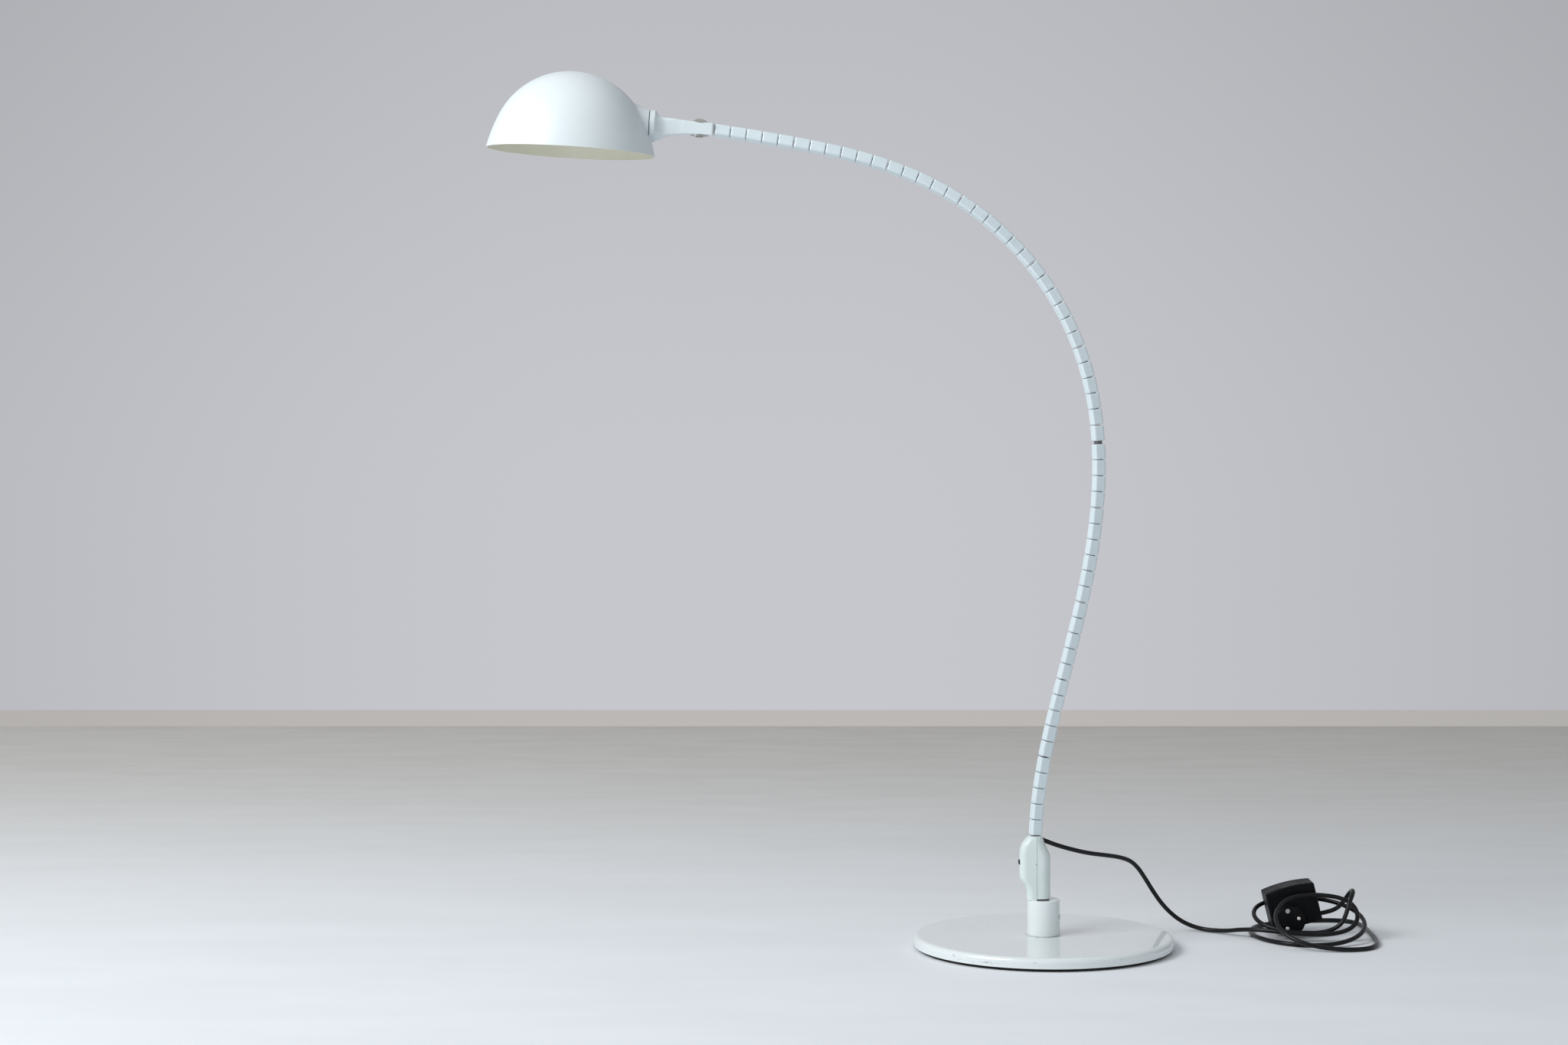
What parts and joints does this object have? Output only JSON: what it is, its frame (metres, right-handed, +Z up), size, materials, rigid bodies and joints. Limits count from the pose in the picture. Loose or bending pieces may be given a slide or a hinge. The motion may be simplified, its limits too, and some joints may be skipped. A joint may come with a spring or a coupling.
{
  "type": "gooseneck floor lamp",
  "caption": "Floor lamp with a round weighted base, a switch casing, a bendable neck of square links, a swivelling dome shade and a lead with a plug-in adaptor.",
  "frame": {"origin": "centre of the round base, on the floor", "axes": "+Z up; +X to the right as the picture shows the lamp, away from the shade; +Y away from the viewer. The neck bends in the plane Y = 0, towards -X."},
  "size_m": [1.1296, 0.3518, 1.0967],
  "materials": {
    "white_enamel": "glossy white enamel",
    "iron": "rough",
    "black_rubber": "matt",
    "steel": "plain",
    "casing_plastic": "satin white",
    "black_plastic": "fine texture",
    "pale_plastic": "matt",
    "link_plastic": "satin pale white",
    "core_steel": "dark",
    "bracket_plastic": "satin white",
    "bright_metal": "polished",
    "shade_paint": "satin white paint",
    "tube_glass": "white phosphor",
    "lead_rubber": "satin black"
  },
  "bodies": {
    "base": {"base_cover": "white_enamel", "base_weight": "iron", "foot_ring": "black_rubber", "base_washer": "steel", "base_bolt": "steel", "post": "white_enamel", "set_screw": "steel", "casing_front": "casing_plastic", "casing_rear": "casing_plastic", "casing_screws": "steel", "spigot": "black_plastic", "switch_body": "black_plastic", "neck_socket": "steel", "terminal_block": "pale_plastic", "cord": "lead_rubber", "cord_coil": "lead_rubber", "adaptor_front": "black_plastic", "adaptor_back": "black_plastic", "plug_pins": "bright_metal", "adaptor_screw": "steel", "ballast_core": "iron"},
    "switch_button": {"switch_button": "black_plastic"},
    "neck_01": {"neck_links_01": "link_plastic", "neck_core_01": "core_steel"},
    "neck_02": {"neck_links_02": "link_plastic", "neck_core_02": "core_steel"},
    "neck_03": {"neck_links_03": "link_plastic", "neck_core_03": "core_steel"},
    "neck_04": {"neck_links_04": "link_plastic", "neck_core_04": "core_steel"},
    "neck_05": {"neck_links_05": "link_plastic", "neck_core_05": "core_steel"},
    "neck_06": {"neck_links_06": "link_plastic", "neck_core_06": "core_steel"},
    "neck_07": {"neck_links_07": "link_plastic", "neck_core_07": "core_steel"},
    "neck_08": {"neck_links_08": "link_plastic", "neck_core_08": "core_steel"},
    "neck_09": {"neck_links_09": "link_plastic", "neck_core_09": "core_steel"},
    "neck_10": {"neck_links_10": "link_plastic", "neck_core_10": "core_steel"},
    "neck_11": {"neck_links_11": "link_plastic", "neck_core_11": "core_steel", "neck_tip": "steel"},
    "head": {"swivel_bracket": "bracket_plastic", "pivot_screw": "bright_metal", "pivot_washer": "steel", "pivot_nut": "steel", "shade": "shade_paint", "shade_gasket": "black_rubber", "nipple": "steel", "nipple_nut": "steel", "head_lead": "lead_rubber", "lampholder": "pale_plastic", "lamp_base": "pale_plastic", "lamp_tubes": "tube_glass"}
  },
  "joints": [
    {"name": "lower_bend_1", "type": "hinge", "parent": "base", "child": "neck_01", "pos_m": [-0.01065, 0, 0.1427], "axis": [0, -1, 0], "range_deg": [-6, 8]},
    {"name": "lower_sway", "type": "hinge", "parent": "neck_01", "child": "neck_02", "pos_m": [0.00083, 0, 0.24183], "axis": [-0.9828, 0, 0.1847], "range_deg": [-9, 9]},
    {"name": "lower_bend_2", "type": "hinge", "parent": "neck_02", "child": "neck_03", "pos_m": [0.02312, 0, 0.33919], "axis": [0, -1, 0], "range_deg": [-6, 8]},
    {"name": "lower_bend_3", "type": "hinge", "parent": "neck_03", "child": "neck_04", "pos_m": [0.04646, 0, 0.43633], "axis": [0, -1, 0], "range_deg": [-6, 8]},
    {"name": "middle_bend_1", "type": "hinge", "parent": "neck_04", "child": "neck_05", "pos_m": [0.06503, 0, 0.55453], "axis": [0, -1, 0], "range_deg": [-9, 6]},
    {"name": "middle_sway", "type": "hinge", "parent": "neck_05", "child": "neck_06", "pos_m": [0.06418, 0, 0.65782], "axis": [-0.9944, 0, -0.1059], "range_deg": [-9, 9]},
    {"name": "middle_bend_2", "type": "hinge", "parent": "neck_06", "child": "neck_07", "pos_m": [0.04121, 0, 0.75477], "axis": [0, -1, 0], "range_deg": [-9, 6]},
    {"name": "middle_bend_3", "type": "hinge", "parent": "neck_07", "child": "neck_08", "pos_m": [-0.01836, 0, 0.85805], "axis": [0, -1, 0], "range_deg": [-9, 6]},
    {"name": "upper_bend_1", "type": "hinge", "parent": "neck_08", "child": "neck_09", "pos_m": [-0.10758, 0, 0.93715], "axis": [0, -1, 0], "range_deg": [-8, 6]},
    {"name": "upper_sway", "type": "hinge", "parent": "neck_09", "child": "neck_10", "pos_m": [-0.19774, 0, 0.97963], "axis": [-0.3168, 0, -0.9485], "range_deg": [-9, 9]},
    {"name": "upper_bend_2", "type": "hinge", "parent": "neck_10", "child": "neck_11", "pos_m": [-0.314, 0, 1.00784], "axis": [0, -1, 0], "range_deg": [-8, 6]},
    {"name": "head_swivel", "type": "hinge", "parent": "neck_11", "child": "head", "pos_m": [-0.43103, 0, 1.02589], "axis": [0.0576, 0, 0.9983], "range_deg": [-6, 6]},
    {"name": "button_press", "type": "slide", "parent": "base", "child": "switch_button", "axis": [1, 0, 0], "range_m": [0, 0.0009], "stiffness_N_per_m": 900, "springref_m": -0.001}
  ],
  "couplings": [
    {"joint": "lower_bend_2", "follows": "lower_bend_1", "ratio": 1},
    {"joint": "lower_bend_3", "follows": "lower_bend_1", "ratio": 1},
    {"joint": "middle_bend_2", "follows": "middle_bend_1", "ratio": 1},
    {"joint": "middle_bend_3", "follows": "middle_bend_1", "ratio": 1},
    {"joint": "upper_bend_2", "follows": "upper_bend_1", "ratio": 1}
  ]
}
